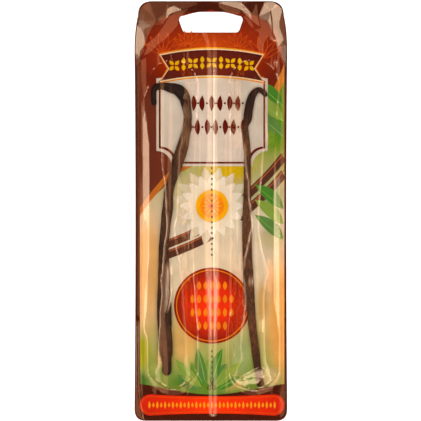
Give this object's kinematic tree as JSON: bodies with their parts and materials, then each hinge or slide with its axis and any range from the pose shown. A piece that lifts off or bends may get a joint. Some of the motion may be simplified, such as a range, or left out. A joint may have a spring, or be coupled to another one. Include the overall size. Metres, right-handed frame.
{
  "type": "vanilla pod pack",
  "caption": "Flat hanging pack of dried vanilla pods: printed backing sheet, clear formed film with a long pocket for each pod, and a hang hole at the top.",
  "frame": {"origin": "middle of the underside of the backing sheet, at the centre of the pack's outline", "axes": "+X across the pack to the right as seen from its front, +Y up its length to the hang hole, +Z out of its front; the pack lies on its back"},
  "size_m": [0.08, 0.22, 0.0088],
  "materials": {
    "printed_sheet": "satin printed sheet: dark brown border, orange-red, cream, green and red fields",
    "clear_film": "clear glossy formed film with soft lengthwise creases",
    "dried_pod": "dark brown, leathery, wrinkled lengthwise, faint oily sheen"
  },
  "bodies": {
    "root": {"backing": "printed_sheet", "film": "clear_film", "pod_left": "dried_pod", "pod_right": "dried_pod"}
  },
  "joints": []
}
